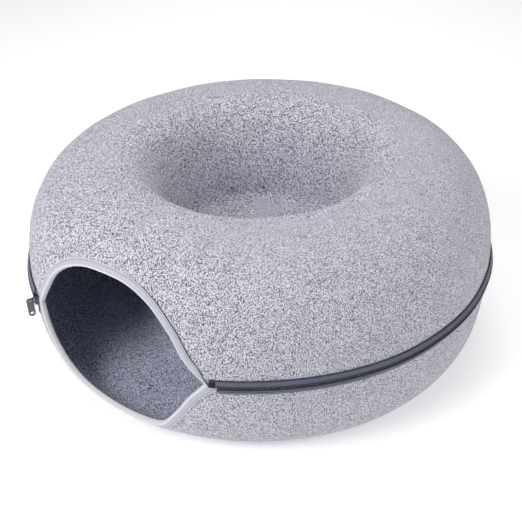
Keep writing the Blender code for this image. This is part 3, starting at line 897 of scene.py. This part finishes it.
def binding_outline():
    """The folded tape's section: distance from the cut edge, height over the felt, and painted
    light, positive for a painted highlight and negative for painted shade.

    The outer face is crowned by a parabola, raised to a bead beside the fold and pulled in
    along the stitch line by bell curves. The fold is half a superellipse round the cut edge.
    """
    ring, mouth = settings().ring, settings().mouth
    top = GAP + mouth.tape
    inside = -ring.felt - mouth.inner_gap
    bottom = inside - mouth.tape
    wide = mouth.tape_width
    stitches = wide - mouth.stitch_in
    outer = np.linspace(wide, 0, 32)
    crown = TAPE_CROWN * (1 - (2 * outer / wide - 1) ** 2)
    dip = mouth.groove * bell(outer, stitches, GROOVE_WIDE)
    bead = mouth.bead * bell(outer, BEAD_IN, BEAD_WIDE)
    fold = np.linspace(0, math.pi, 14)[1:-1]
    middle, half = (top + bottom) / 2, (top - bottom) / 2
    nose = -(GAP + mouth.tape) * np.sin(fold) ** 0.7
    under = np.linspace(0, mouth.tape_inner, 8)
    back = np.linspace(mouth.tape_inner, -GAP, 6)
    lines = np.concatenate([
        [(wide, GAP), (wide + 0.0001, (GAP + top) / 2)],
        np.stack([outer, top + crown - dip + bead], axis=1),
        np.stack([nose, middle + half * np.cos(fold)], axis=1),
        np.stack([under, np.full(8, bottom)], axis=1),
        np.stack([back, np.full(6, inside)], axis=1),
        np.stack([np.linspace(-GAP, wide, 8)[:-1], np.full(7, GAP)], axis=1),
    ])
    away = lines[:, 0]
    # Painted highlight on the fold and the outer edge, painted shade along the stitches.
    wear = bell(away, 0.0, FOLD_HIGHLIGHT) + 0.8 * bell(away, wide, EDGE_HIGHLIGHT)
    wear = np.where(away < 0, 1.0, wear) - bell(away, stitches, GROOVE_SHADE)
    return lines, wear


def edge_frame(edge, ends):
    """Directions in which a tape lies on the flattened felt beside the mouth's edge.

    It stands square to the edge, and turns level over its last stretch at each corner, where
    ends gives its width. Returns the reach of its full width, its direction and how much a
    mitre lengthens it.
    """
    mouth = settings().mouth
    run = run_of(edge)
    along = to_unit(np.gradient(edge, run, axis=0))
    square = np.stack([-along[:, 1], along[:, 0]], axis=1)
    to_end = np.clip(np.minimum(run, run[-1] - run) / mouth.turn, 0, 1)
    level = (1 - eased(to_end))[:, None]
    flat = np.stack([np.where(edge[:, 0] > 0, ends[1], -ends[0]), np.zeros(len(edge))], axis=1)
    reach = (1 - level) * square * mouth.tape_width + level * flat
    unit = to_unit(reach)
    return reach, unit, 1 / (unit * square).sum(axis=1)[:, None]


def binding(half, section, edge, ends):
    """The folded tape along one half of the mouth's edge, and its row of stitches."""
    mouth, colours = settings().mouth, settings().colours
    edge = even_line(edge, BINDING_RINGS)
    reach, unit, mitre = edge_frame(edge, ends)
    outline, wear = binding_outline()
    away, over = outline.T
    outer = reach[:, None] * (away / mouth.tape_width)[None, :, None]
    inner = (unit * mitre)[:, None] * away[None, :, None]
    flat = edge[:, None] + np.where(away[None, :, None] > 0, outer, inner)
    arcs = flat[..., 1].clip(0)
    rings = on_felt(section, flat[..., 0], arcs, np.broadcast_to(over, arcs.shape))
    run = run_of(edge)
    strip = np.stack(np.broadcast_arrays(run[:, None], run_of(outline)[None], 0.0), axis=-1)
    # A painted shadow on the tape's outer edge, over the upper tape's right part only.
    rim = np.interp(away / mouth.tape_width, SHADOW_SHARES, (0, 1))
    painted_shadow_side = np.clip((edge[:, 0] - SHADOW_ACROSS) / SHADOW_GROWTH, 0, 1) * (half == "upper")
    marks = {"strip": strip, "wear": np.broadcast_to(wear, arcs.shape),
             "raw": painted_shadow_side[:, None] * rim[None]}
    piece = add_piece(f"binding_tape_{half}", rings, swept(rings),
                      binding_material(f"knit_binding_tape_{half}"),
                      [f"binding_{half}"], marks)
    line = edge + reach * (1 - mouth.stitch_in / mouth.tape_width)
    line[:, 1] = line[:, 1].clip(GAP)
    walk = run_of(line)
    clear = 2 * mouth.stitch_pitch
    count = int((walk[-1] - 2 * clear) / mouth.stitch_pitch)
    spots = clear + (np.arange(count) + 0.5) * (walk[-1] - 2 * clear) / count
    x, y = read_at(spots, walk, line)
    aim = to_unit(np.stack(read_at(spots, walk, np.gradient(line, walk, axis=0)), axis=1))
    high = GAP + mouth.tape - mouth.groove + mouth.thread / 3
    points, faces = capsules(section, x, y, aim, high, mouth.stitch_long / 2, mouth.thread / 2)
    add_piece(f"binding_stitches_{half}", points, faces,
              thread_material(f"spun_polyester_thread_{half}", colours.thread))


class CATCAVE_OT_binding(bpy.types.Operator):
    """Make the folded tape on the mouth's edge, with its stitches"""

    bl_idname = "cat_cave.binding"
    bl_label = "Mouth binding"

    def execute(self, context):
        mouth = settings().mouth
        binding("upper", upper_section(), cut_edge(MOUTH_UPPER),
                (mouth.upper_left, mouth.upper_right))
        binding("lower", lower_section(), cut_edge(MOUTH_LOWER),
                (mouth.lower_left, mouth.lower_right))
        return {"FINISHED"}


# Zip.

# A tooth runs between these shares of the coil's half width. Its wire is as thick as the root
# of the sine between these shares of pi, and its tone falls from the crest outwards, from a
# painted highlight on the crest to painted shade on its sides.
TOOTH_SHARES = (0.86, -0.26)
TOOTH_TAPER = (0.18, 0.80)
CREST_PAINTED_LIGHT = 1.1
PAINTED_LIGHT_FALL = 4.0
TOOTH_RINGS = 6

# How high the tapes are crowned, and their lines of painted highlight and painted shade: from
# which edge, how far from it, how wide and of which tone.
UPPER_CROWN = 0.0002
LOWER_CROWN = 0.0001
UPPER_PAINTED_LINES = (("far", 0.0, 0.0007, -1.0), ("near", 0.0004, 0.0014, -1.3))
LOWER_PAINTED_LINES = (
    ("near", 0.0007, 0.0005, 0.5), ("near", -0.0002, 0.0004, -1.0), ("far", 0.0, 0.0022, -1.1))

# A stitch on a tape's edge: its slant, its half length as a share of the pitch, its radius, and
# how far in from the far edge of each tape its middle lies.
STITCH_AIM = (0.8, 0.6)
STITCH_SHARE = 0.4
STITCH_RADIUS = 0.0004
UPPER_STITCH_IN = 0.0005
LOWER_STITCH_IN = 0.0004

# How much thinner the sealed end is at its two sides.
END_FALL = 0.15


def band_line(left, right):
    """Lengths across, from the right end round the back to the left end."""
    lap = 2 * math.pi * settings().ring.widest_r
    return np.linspace(right, lap + left, BAND_COLUMNS + 1)


def band(name, section, outline, right, material, stands_for, lines=()):
    """A band round the back of the ring, its section given by arc and height over the felt.

    lines are its stripes of painted highlight and painted shade, each a bell curve: the edge it
    is measured from, near to the widest line or far from it, its arc from there, its width and
    its tone.
    """
    across = band_line(settings().zip.bands_left, right)
    arc, over = outline.T
    ends = {"near": arc.min(), "far": arc.max()}
    spread = np.broadcast_arrays(across[:, None], arc[None], over[None])
    rings = on_felt(section, *spread)
    strip = np.stack([spread[0], spread[1], np.zeros(rings.shape[:2])], axis=-1)
    # The tone paints highlights and shade along the tapes' edges.
    tone = sum(full * bell(spread[1], ends[end] + at, wide) for end, at, wide, full in lines)
    marks = {"strip": strip, "tone": np.broadcast_to(tone, rings.shape[:2])}
    add_piece(name, rings, swept(rings), material, stands_for, marks)


def tape_outline(edges, rises, thick, bulge):
    """A tape's section: flat below, its edges rounded by a superellipse, its top crowned.

    Each edge stands off the felt by its rise, in a straight line between them.
    """
    middle, half = (edges[0] + edges[1]) / 2, (edges[1] - edges[0]) / 2
    u = np.linspace(1, -1, 17)
    top = thick * (1 - np.abs(u) ** 6) ** 0.5 + bulge * (1 - u ** 2)
    arc = np.concatenate([middle + half * u, middle + half * u[1:-1][::-1]])
    lift = np.concatenate([top, np.zeros(len(u) - 2)])
    base = np.interp(arc, edges, rises)
    return np.stack([arc, GAP + base + lift], axis=1)


def coil_section(share, arched=1.0):
    """Arc and height over the felt of the coil's crest, at shares of its half width.

    Its foot rises in a straight line, and over it the coil is half an ellipse.
    """
    sizes = settings().zip
    arc = (sizes.chain_low + sizes.chain_far) / 2
    foot = (sizes.chain_rise + sizes.chain_rise_far) / 2
    arc = arc + (sizes.chain_far - sizes.chain_low) / 2 * share
    foot = GAP + foot + (sizes.chain_rise_far - sizes.chain_rise) / 2 * share
    arch = arched * np.sqrt((1 - share ** 2).clip(0))
    return arc, foot + (sizes.chain - sizes.tooth) * arch


def zip_teeth(section):
    """The coil's teeth: rods that arch from each side over the middle, by turns.

    A rod's height over its foot is half an ellipse of its arc, and the two halves of the
    coil are half a pitch apart.
    """
    sizes = settings().zip
    line = band_line(sizes.bands_left + sizes.pitch, sizes.lower_right + sizes.pitch)
    count = int((line[-1] - line[0]) / sizes.pitch)
    v = circle(TOOTH_RINGS)
    taper = np.linspace(*TOOTH_TAPER, TOOTH_RINGS) * math.pi
    thick = sizes.tooth * np.sin(taper)[:, None] ** 0.5
    points, faces, tones = [], [], []
    for turn, shift in ((1, 0.0), (-1, 0.5)):
        spots = line[0] + (np.arange(count) + 0.25 + shift) * sizes.pitch
        share = turn * np.linspace(*TOOTH_SHARES, TOOTH_RINGS)[:, None]
        arc, crest = coil_section(share)
        x = spots[:, None, None] + thick * np.cos(v)
        y = np.broadcast_to(arc, x.shape)
        up = np.broadcast_to(crest + thick * np.sin(v), x.shape)
        faces += rod_faces(count, TOOTH_RINGS, TOOTH_RINGS, len(points) * count)
        points.append(on_felt(section, x, y, up).reshape(-1, 3))
        # The tone paints a highlight on each tooth's crest and shade on its sides.
        tones.append(np.broadcast_to(CREST_PAINTED_LIGHT - PAINTED_LIGHT_FALL * np.abs(share), x.shape).ravel())
    return np.concatenate(points), faces, np.concatenate(tones)


def edge_stitches(name, section, arc, right):
    """A close row of short stitches across the edge of a zip's tape, which scallop it."""
    sizes = settings().zip
    line = band_line(sizes.bands_left, right)
    count = int((line[-1] - line[0]) / sizes.scallop)
    spots = line[0] + (np.arange(count) + 0.5) * (line[-1] - line[0]) / count
    aim = np.tile(STITCH_AIM, (count, 1))
    points, faces = capsules(section, spots, np.full(count, arc), aim, GAP + sizes.tape / 2,
                             STITCH_SHARE * sizes.scallop, STITCH_RADIUS, 5, 6)
    thread = thread_material(f"{name}_thread", settings().colours.zip_stitches_and_shade)
    add_piece(name, points, faces, thread)


def sealed_end(section, edges):
    """The upper tape's melted end: the tape's section made thicker, and lower at both sides.

    Its thickness falls by a share that grows as the fourth power from its middle.
    """
    sizes = settings().zip
    rises = (sizes.tape_rise, 0.0)
    steps = np.linspace(sizes.stop_from, sizes.stop_to, 9)
    swell = 1 - END_FALL * np.abs(np.linspace(-1, 1, 9)) ** 4
    arc, over = tape_outline(edges, rises, sizes.stop, 0.0).T
    base = GAP + np.interp(arc, edges, rises)
    lifted = base[None] + (over - base)[None] * swell[:, None]
    rings = on_felt(section, *np.broadcast_arrays(steps[:, None], arc[None], lifted))
    melted = plastic_material("heat_sealed_tape_end", settings().colours.sealed, 0.42)
    add_piece("zip_sealed_end", rings, swept(rings), melted, ["zip_end_stop"])


class CATCAVE_OT_zip(bpy.types.Operator):
    """Make the zip's tapes, coil and sealed end"""

    bl_idname = "cat_cave.zip"
    bl_label = "Zip"

    def execute(self, context):
        sizes, colours = settings().zip, settings().colours
        upper, lower = upper_section(), lower_section()
        tape = zip_tape_material()
        high = (sizes.tape_low, sizes.tape_far)
        low = (sizes.lower_low, sizes.lower_far)
        band("zip_upper_tape", upper,
             tape_outline(high, (sizes.tape_rise, 0.0), sizes.tape, UPPER_CROWN),
             sizes.tape_right, tape, ["zip_tape_upper"], UPPER_PAINTED_LINES)
        band("zip_lower_tape", lower,
             tape_outline(low, (sizes.lower_rise, 0.0), sizes.tape, LOWER_CROWN),
             sizes.lower_right, tape, ["zip_tape_lower"], LOWER_PAINTED_LINES)
        crest = coil_section(np.linspace(1, -1, 15))
        foot = coil_section(np.linspace(-0.8, 0.8, 5), 0.0)
        # The core is given the zip's darkest colour, so that it shows as painted shade in the groove
        # under the coil.
        band("zip_core", lower, np.concatenate([crest, foot], axis=1).T, sizes.lower_right,
             plastic_material("nylon_coil_core", colours.zip_stitches_and_shade, 0.6),
             ["zip_chain"])
        # The teeth carry a painted highlight on their crests and painted shade on their sides.
        points, faces, tones = zip_teeth(lower)
        add_piece("zip_coil_teeth", points, faces,
                  plastic_material("drawn_nylon_coil", colours.coil, 0.45, colours.zip_highlight,
                                   colours.zip_stitches_and_shade), (), {"tone": tones})
        edge_stitches("zip_upper_stitches", upper, sizes.tape_far - UPPER_STITCH_IN,
                      sizes.stop_to + sizes.scallop)
        edge_stitches("zip_lower_stitches", lower, sizes.lower_far - LOWER_STITCH_IN,
                      sizes.lower_right)
        sealed_end(upper, high)
        return {"FINISHED"}


def slider_frame():
    """Where the slider sits: its place, and axes along the zip, out of the felt and up."""
    ring, sizes = settings().ring, settings().zip
    side = sizes.slider_across / ring.widest_r
    here = place(side, ring.widest_r, ring.widest_z - sizes.slider_drop)
    along = np.array([math.cos(side), math.sin(side), 0.0])
    out = np.array([math.sin(side), -math.cos(side), 0.0])
    return here, along, out, np.array([0.0, 0.0, 1.0])


def plate(outline, low, high, axes):
    """Points and faces of a flat piece: an outline in two axes, carried along the third."""
    here, first, second, third = axes
    flat = here + outline[:, :1] * first + outline[:, 1:] * second
    rings = np.stack([flat + w * third for w in (low, high)])
    return rings, swept(rings)


def finished(piece, bevel, cutters=()):
    """Cut a piece with others, round its edges and apply both."""
    for cutter in cutters:
        cut = piece.modifiers.new("cut", "BOOLEAN")
        cut.operation = "DIFFERENCE"
        cut.object = cutter
    edges = piece.modifiers.new("edges", "BEVEL")
    edges.width = bevel
    edges.segments = 3
    edges.limit_method = "ANGLE"
    graph = bpy.context.evaluated_depsgraph_get()
    mesh = bpy.data.meshes.new_from_object(piece.evaluated_get(graph))
    piece.modifiers.clear()
    piece.data = mesh
    mesh.shade_smooth()
    mesh.set_sharp_from_angle(angle=SMOOTH_ANGLE)
    for cutter in cutters:
        bpy.data.objects.remove(cutter)


def cutter(centre, radius, reach, axes):
    """A round rod that cuts a hole to both sides and is removed afterwards."""
    turn = circle(40)
    outline = np.array(centre) + radius * np.stack([np.cos(turn), np.sin(turn)], axis=1)
    rings, faces = plate(outline, -reach, reach, axes)
    mesh = bpy.data.meshes.new("cutter")
    mesh.from_pydata(rings.reshape(-1, 3).tolist(), [], [q.tolist() for f in faces for q in f])
    face_out(mesh)
    made = add_object("cutter", mesh)
    made.hide_render = True
    made.display_type = "WIRE"
    return made


# The slider's round ends, how deep its bridge is sunk in, its bridge's squareness and how much
# wider it is than thick, the bevels, the head's round top and the depth of the tail's crimps.
NOSE_RADIUS = 0.0022
BACK_RADIUS = 0.0014
SUNK = 0.0004
BRIDGE_POWER = 0.55
BRIDGE_WIDE = 1.3
BODY_BEVEL = 0.0005
TAB_BEVEL = 0.00022
HEAD_ROUND = 0.0022
CRIMP = 0.16
CRIMPS = 3.5


def slider_body(metal):
    """The slider's body: an outline of two half ellipses, and the bridge that arches over it.

    The bridge's middle line has |cos|^0.55 of half its span along and sin^0.55 of its height.
    """
    sizes = settings().zip
    here, along, out, up = slider_frame()
    half, front, back = sizes.slider_length / 2, sizes.slider_width / 2, sizes.slider_back / 2
    turn = np.linspace(-math.pi / 2, math.pi / 2, 13)
    nose = np.stack([half - NOSE_RADIUS * (1 - np.cos(turn)), front * np.sin(turn)], axis=1)
    tail = np.stack([BACK_RADIUS * (1 - np.cos(turn)) - half, -back * np.sin(turn)], axis=1)
    rings, faces = plate(np.concatenate([nose, tail]), sizes.slider_low, sizes.slider_high,
                         (here, along, up, out))
    body = add_piece("slider_body", rings, faces, metal, ["zip_slider"])
    finished(body, BODY_BEVEL)
    span, tall = sizes.bridge_span / 2, sizes.bridge_out - sizes.slider_high + SUNK
    turn = np.linspace(0, math.pi, 25)
    path = np.stack([
        span * squared_cos(turn, BRIDGE_POWER),
        sizes.slider_high - SUNK + tall * np.sin(turn) ** BRIDGE_POWER], axis=1)
    slope = to_unit(np.gradient(path, axis=0))
    side = np.stack([slope[:, 1], -slope[:, 0]], axis=1)
    around = circle(12)
    thick = sizes.bridge / 2
    spot = path[:, None] + side[:, None] * (thick * np.cos(around))[None, :, None]
    rings = here + spot[..., :1] * along + spot[..., 1:] * out
    rings = rings + (BRIDGE_WIDE * thick * np.sin(around))[None, :, None] * up
    add_piece("slider_bridge", rings, swept(rings), metal)


def puller_tab(metal):
    """The pull tab: a round foot, a squarer head, an eye and a hole."""
    sizes = settings().zip
    here, along, out, up = slider_frame()
    cos, sin = math.cos(sizes.puller_lean), math.sin(sizes.puller_lean)
    axes = (here + sizes.bridge_out * out, cos * out - sin * up, cos * up + sin * out, along)
    wide, top = sizes.puller_width / 2, sizes.eye_in
    middle = wide - sizes.eye_in
    low = top - sizes.puller_length + wide
    turn = np.linspace(0, -math.pi, 25)
    foot = np.stack([middle + wide * np.cos(turn), low + wide * np.sin(turn)], axis=1)
    head = np.stack([middle + wide * squared_cos(turn, 0.5),
                     top - HEAD_ROUND * (1 - np.abs(np.sin(turn)) ** 0.5)], axis=1)[::-1]
    thick = sizes.puller / 2
    rings, faces = plate(np.concatenate([foot, head]), -thick, thick, axes)
    tab = add_piece("puller_tab", rings, faces, metal, ["zip_puller"])
    holes = [cutter(centre, radius, 2 * thick, axes) for centre, radius in (
        ((0.0, 0.0), sizes.eye_r), ((middle, low), sizes.hole_r))]
    finished(tab, TAB_BEVEL, holes)


def loose_end(sealed):
    """The chain's loose end: a strip of rounded section, crimped along its length."""
    sizes = settings().zip
    here, along, out, up = slider_frame()
    fall = np.linspace(0, 1, 24)
    left, right = (across - sizes.slider_across for across in (sizes.tail_left, sizes.tail_right))
    centre, wide = (left + right) / 2, (right - left) / 2
    deep = (sizes.tail_high - sizes.tail_low) / 2
    crimp = 1 - CRIMP * np.cos(fall * 2 * math.pi * CRIMPS) ** 2
    around = circle(14)
    x = centre + wide * crimp[:, None] * squared_cos(around, 0.5)
    y = (sizes.tail_low + sizes.tail_high) / 2 + deep * crimp[:, None] * np.sin(around)
    z = -sizes.slider_width / 2 - GAP - sizes.tail_length * fall
    rings = here + x[..., None] * along + y[..., None] * out + z[:, None, None] * up
    add_piece("zip_loose_end", rings, swept(rings), sealed, ["zip_tail"])


class CATCAVE_OT_slider(bpy.types.Operator):
    """Make the slider, the puller that hangs from it and the zip's loose end"""

    bl_idname = "cat_cave.slider"
    bl_label = "Slider and puller"

    def execute(self, context):
        metal = metal_material()
        slider_body(metal)
        puller_tab(metal)
        loose_end(plastic_material("melted_zip_end", settings().colours.sealed, 0.42))
        return {"FINISHED"}


# Stage.

def floor_material():
    """Matt white paper: it takes a soft shadow and is lit a little from within."""
    code = settings().colours.floor
    material, tree, shader = new_material(
        "matt_white_paper", Roughness=0.9, Specular_IOR_Level=0.1,
        Emission_Color=linear(code), Emission_Strength=settings().stage.glow)
    pulp = noise(tree, object_place(tree), 0.003)
    tree.links.new(blended(tree, pulp, linear(code), linear(PAPER_SHADE)),
                   shader.inputs["Base Color"])
    return material


LIGHTS = (  # name, side angle and elevation in degrees, size in metres
    ("key", -20, 35, 0.9),
    ("side", 90, 35, 0.9),
    ("top", 0, 90, 1.2),
    ("back", -150, 35, 0.9),
)
LIGHT_AIM = Vector((0.0, 0.0, 0.08))
LIGHT_DISTANCE = 1.7
PAPER_SHADE = "#F4F4F4"
FLOOR_REACH = 6.0
FLOOR_Z = -0.0002


def towards(side, elevation):
    """A unit vector out from the ring at a side angle and an elevation."""
    return Vector((
        math.sin(side) * math.cos(elevation),
        -math.cos(side) * math.cos(elevation),
        math.sin(elevation),
    ))


def soft_light(name, watts, side, elevation, size):
    """A square soft light on a sphere round the bed, which faces the bed."""
    out = towards(side, elevation)
    lamp = bpy.data.lights.new(name, "AREA")
    lamp.energy = watts
    lamp.size = size
    made = add_object(name, lamp)
    made.location = LIGHT_AIM + LIGHT_DISTANCE * out
    made.rotation_mode = "QUATERNION"
    made.rotation_quaternion = (-out).to_track_quat("-Z", "Y")


def studio_camera():
    """A camera that circles the ring's axis, with its roll and the picture's shift."""
    stage, ring = settings().stage, settings().ring
    aim = Vector((0.0, ring.axis_y, stage.aim_z))
    back = towards(stage.azimuth, stage.elevation)
    right = Vector((0.0, 0.0, 1.0)).cross(back).normalized()
    above = back.cross(right)
    turned = Matrix((right, above, back)).transposed() @ Matrix.Rotation(stage.roll, 3, "Z")
    view = bpy.data.cameras.new("camera")
    view.sensor_fit = "HORIZONTAL"
    view.sensor_width = 36.0
    view.lens = stage.lens
    view.shift_x, view.shift_y = stage.shift_x, stage.shift_y
    view.clip_start, view.clip_end = 0.01, 50.0
    camera = add_object("camera", view)
    camera.matrix_world = Matrix.Translation(aim + stage.distance * back) @ turned.to_4x4()
    bpy.context.scene.camera = camera


class CATCAVE_OT_stage(bpy.types.Operator):
    """Make the floor, the lights and the camera"""

    bl_idname = "cat_cave.stage"
    bl_label = "Stage"

    def execute(self, context):
        stage = settings().stage
        mesh = bpy.data.meshes.new("floor")
        mesh.from_pydata([(x * FLOOR_REACH, y * FLOOR_REACH, FLOOR_Z) for x, y in (
            (-1, -1), (1, -1), (1, 1), (-1, 1))], [], [(0, 1, 2, 3)])
        mesh.materials.append(floor_material())
        add_object("floor", mesh)
        for name, side, elevation, size in LIGHTS:
            watts = getattr(stage, name)
            soft_light(name, watts, math.radians(side), math.radians(elevation), size)
        world = bpy.data.worlds.new("white_surroundings")
        world.use_nodes = True
        tree = world.node_tree
        seen = add_node(tree, "ShaderNodeLightPath").outputs["Is Camera Ray"]
        strength = add_node(tree, "ShaderNodeMix", {0: seen, 2: stage.sky, 3: stage.backdrop})
        tree.nodes["Background"].inputs["Color"].default_value = (1, 1, 1, 1)
        tree.links.new(strength.outputs[0], tree.nodes["Background"].inputs["Strength"])
        bpy.context.scene.world = world
        bpy.context.scene.view_settings.view_transform = "Standard"
        studio_camera()
        return {"FINISHED"}


class CATCAVE_PT_panel(bpy.types.Panel):
    """Buttons and settings of the cat cave"""

    bl_idname = "CATCAVE_PT_panel"
    bl_label = "Felt cat cave"
    bl_space_type = "VIEW_3D"
    bl_region_type = "UI"
    bl_category = "Cat cave"

    def draw(self, context):
        for step in STEPS:
            self.layout.operator(step.bl_idname)
        for name in ("ring", "mouth", "zip", "colours", "stage"):
            group = getattr(context.scene.cat_cave, name)
            box = self.layout.box()
            box.label(text=name.capitalize())
            for key in group.bl_rna.properties.keys():
                if key not in ("rna_type", "name"):
                    box.prop(group, key)


STEPS = (
    CATCAVE_OT_stage,
    CATCAVE_OT_felt_shells,
    CATCAVE_OT_binding,
    CATCAVE_OT_zip,
    CATCAVE_OT_slider,
)
GROUPS = (
    CatCaveRing,
    CatCaveMouth,
    CatCaveZip,
    CatCaveColours,
    CatCaveStage,
    CatCaveSettings,
)


def register():
    for made in GROUPS + STEPS + (CATCAVE_PT_panel,):
        bpy.utils.register_class(made)
    bpy.types.Scene.cat_cave = PointerProperty(type=CatCaveSettings)


def unregister():
    del bpy.types.Scene.cat_cave
    for made in reversed(GROUPS + STEPS + (CATCAVE_PT_panel,)):
        bpy.utils.unregister_class(made)


def main():
    register()
    bpy.ops.cat_cave.stage()
    bpy.ops.cat_cave.felt_shells()
    bpy.ops.cat_cave.binding()
    bpy.ops.cat_cave.zip()
    bpy.ops.cat_cave.slider()


if __name__ == "__main__":
    main()
